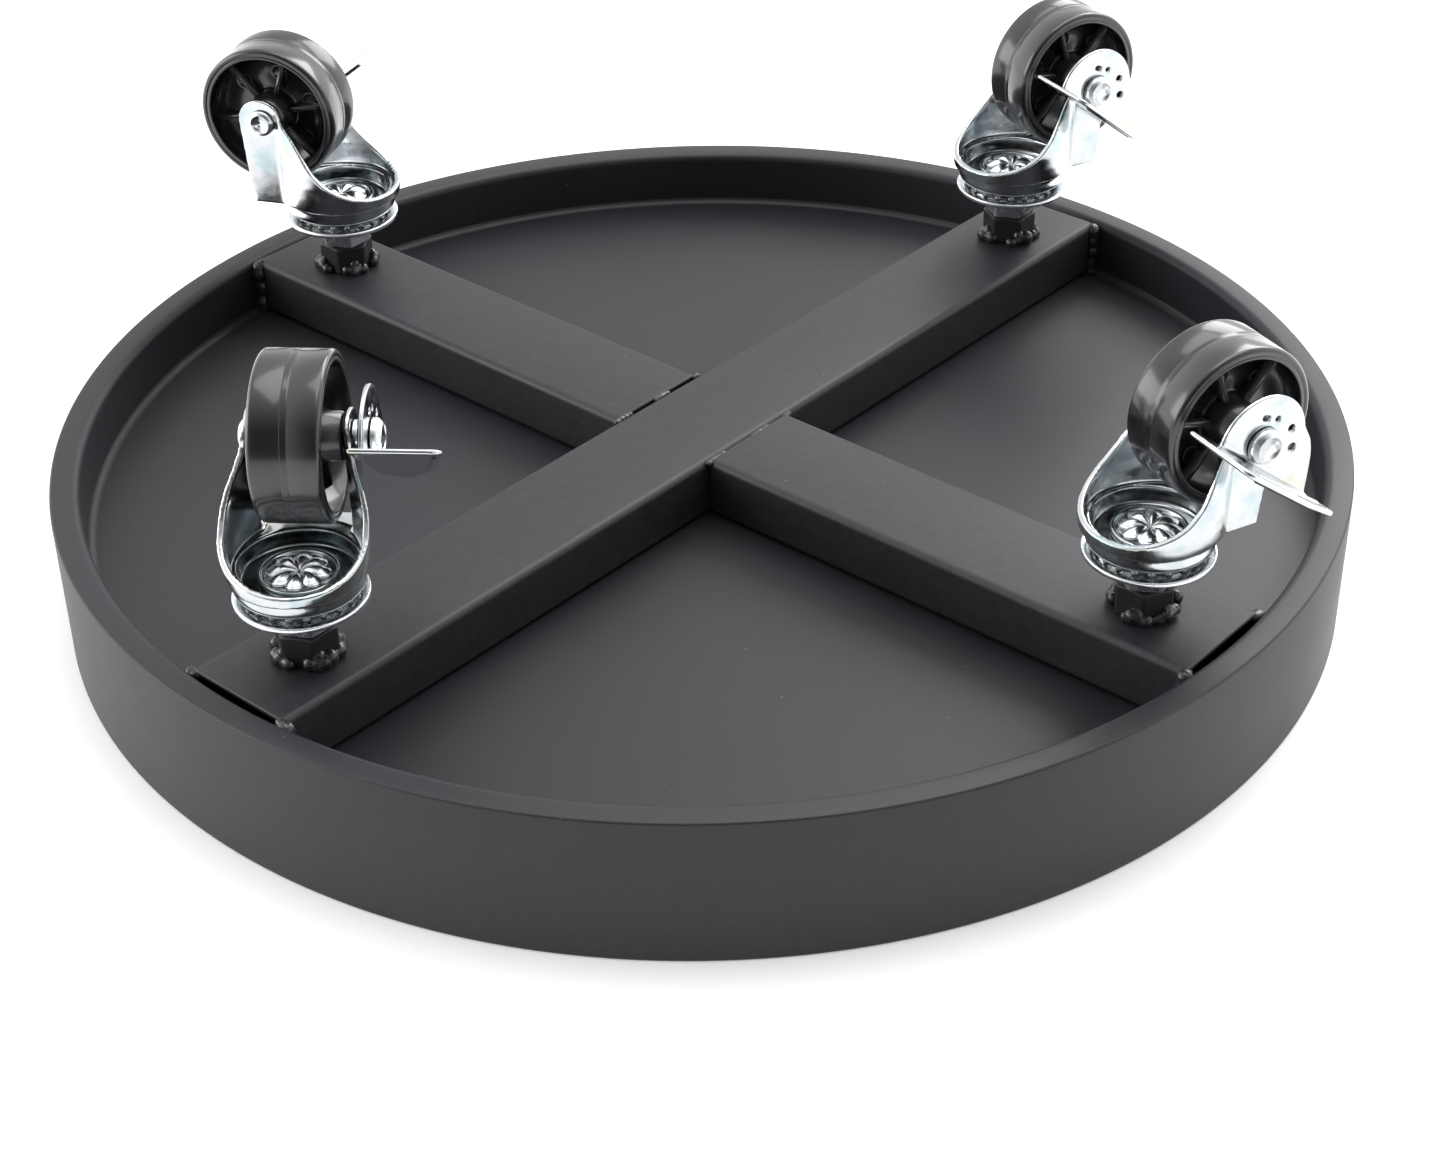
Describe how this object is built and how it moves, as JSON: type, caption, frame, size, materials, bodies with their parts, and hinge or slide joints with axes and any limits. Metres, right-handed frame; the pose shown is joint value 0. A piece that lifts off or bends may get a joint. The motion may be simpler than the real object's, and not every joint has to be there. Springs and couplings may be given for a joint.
{
  "type": "furniture dolly",
  "caption": "Round steel tray dolly shown upside down: rimmed deck with a welded tube cross and swivel casters with foot brakes.",
  "frame": {"origin": "centre of the load-carrying face of the deck", "axes": "+Z out of the casters' side, so it points down in use: the dolly is stored lying on its ring with its wheels up; +X along the whole cross tube; +Y along the two half tubes"},
  "size_m": [0.432, 0.4381, 0.1342],
  "materials": {
    "black_powder_coat": "satin black powder coat with a fine grain",
    "zinc_plate": "bright zinc plating with faint blue and yellow tints",
    "black_wheel_plastic": "moulded, semi-gloss, with mould marks"
  },
  "bodies": {
    "tray": {"tray_ring": "black_powder_coat", "deck_plate": "black_powder_coat", "cross_tube_long": "black_powder_coat", "cross_tube_half_1": "black_powder_coat", "cross_tube_half_2": "black_powder_coat", "weld_nut_1": "black_powder_coat", "caster_stem_1": "zinc_plate", "lower_race_1": "zinc_plate", "ball_ring_1": "zinc_plate", "top_race_1": "zinc_plate", "weld_nut_2": "black_powder_coat", "caster_stem_2": "zinc_plate", "lower_race_2": "zinc_plate", "ball_ring_2": "zinc_plate", "top_race_2": "zinc_plate", "weld_nut_3": "black_powder_coat", "caster_stem_3": "zinc_plate", "lower_race_3": "zinc_plate", "ball_ring_3": "zinc_plate", "top_race_3": "zinc_plate", "weld_nut_4": "black_powder_coat", "caster_stem_4": "zinc_plate", "lower_race_4": "zinc_plate", "ball_ring_4": "zinc_plate", "top_race_4": "zinc_plate"},
    "swivel_fork_1": {"fork_1": "zinc_plate", "wheel_axle_1": "zinc_plate", "brake_washer_1": "zinc_plate"},
    "roller_1": {"wheel_1": "black_wheel_plastic"},
    "brake_1": {"brake_lever_1": "zinc_plate"},
    "swivel_fork_2": {"fork_2": "zinc_plate", "wheel_axle_2": "zinc_plate", "brake_washer_2": "zinc_plate"},
    "roller_2": {"wheel_2": "black_wheel_plastic"},
    "brake_2": {"brake_lever_2": "zinc_plate"},
    "swivel_fork_3": {"fork_3": "zinc_plate", "wheel_axle_3": "zinc_plate", "brake_washer_3": "zinc_plate"},
    "roller_3": {"wheel_3": "black_wheel_plastic"},
    "brake_3": {"brake_lever_3": "zinc_plate"},
    "swivel_fork_4": {"fork_4": "zinc_plate", "wheel_axle_4": "zinc_plate", "brake_washer_4": "zinc_plate"},
    "roller_4": {"wheel_4": "black_wheel_plastic"},
    "brake_4": {"brake_lever_4": "zinc_plate"}
  },
  "joints": [
    {"name": "caster_swivel_1", "type": "hinge", "parent": "tray", "child": "swivel_fork_1", "pos_m": [0.1736, 0, 0.0451], "axis": [0, 0, 1], "continuous": true},
    {"name": "wheel_spin_1", "type": "hinge", "parent": "swivel_fork_1", "child": "roller_1", "pos_m": [0.19308, -0.00671, 0.0823], "axis": [0.3256, 0.9455, 0], "continuous": true},
    {"name": "brake_press_1", "type": "hinge", "parent": "swivel_fork_1", "child": "brake_1", "pos_m": [0.19308, -0.00671, 0.0823], "axis": [-0.3256, -0.9455, 0], "range_deg": [0, 30]},
    {"name": "caster_swivel_2", "type": "hinge", "parent": "tray", "child": "swivel_fork_2", "pos_m": [0, 0.1736, 0.0451], "axis": [0, 0, 1], "continuous": true},
    {"name": "wheel_spin_2", "type": "hinge", "parent": "swivel_fork_2", "child": "roller_2", "pos_m": [-0.00903, 0.19212, 0.0823], "axis": [-0.8988, -0.4384, 0], "continuous": true},
    {"name": "brake_press_2", "type": "hinge", "parent": "swivel_fork_2", "child": "brake_2", "pos_m": [-0.00903, 0.19212, 0.0823], "axis": [0.8988, 0.4384, 0], "range_deg": [0, 30]},
    {"name": "caster_swivel_3", "type": "hinge", "parent": "tray", "child": "swivel_fork_3", "pos_m": [-0.1736, 0, 0.0451], "axis": [0, 0, 1], "continuous": true},
    {"name": "wheel_spin_3", "type": "hinge", "parent": "swivel_fork_3", "child": "roller_3", "pos_m": [-0.15737, 0.01268, 0.0823], "axis": [-0.6157, 0.788, 0], "continuous": true},
    {"name": "brake_press_3", "type": "hinge", "parent": "swivel_fork_3", "child": "brake_3", "pos_m": [-0.15737, 0.01268, 0.0823], "axis": [0.6157, -0.788, 0], "range_deg": [0, 30]},
    {"name": "caster_swivel_4", "type": "hinge", "parent": "tray", "child": "swivel_fork_4", "pos_m": [0, -0.1736, 0.0451], "axis": [0, 0, 1], "continuous": true},
    {"name": "wheel_spin_4", "type": "hinge", "parent": "swivel_fork_4", "child": "roller_4", "pos_m": [0.01929, -0.18081, 0.0823], "axis": [0.3502, 0.9367, 0], "continuous": true},
    {"name": "brake_press_4", "type": "hinge", "parent": "swivel_fork_4", "child": "brake_4", "pos_m": [0.01929, -0.18081, 0.0823], "axis": [-0.3502, -0.9367, 0], "range_deg": [0, 30]}
  ]
}
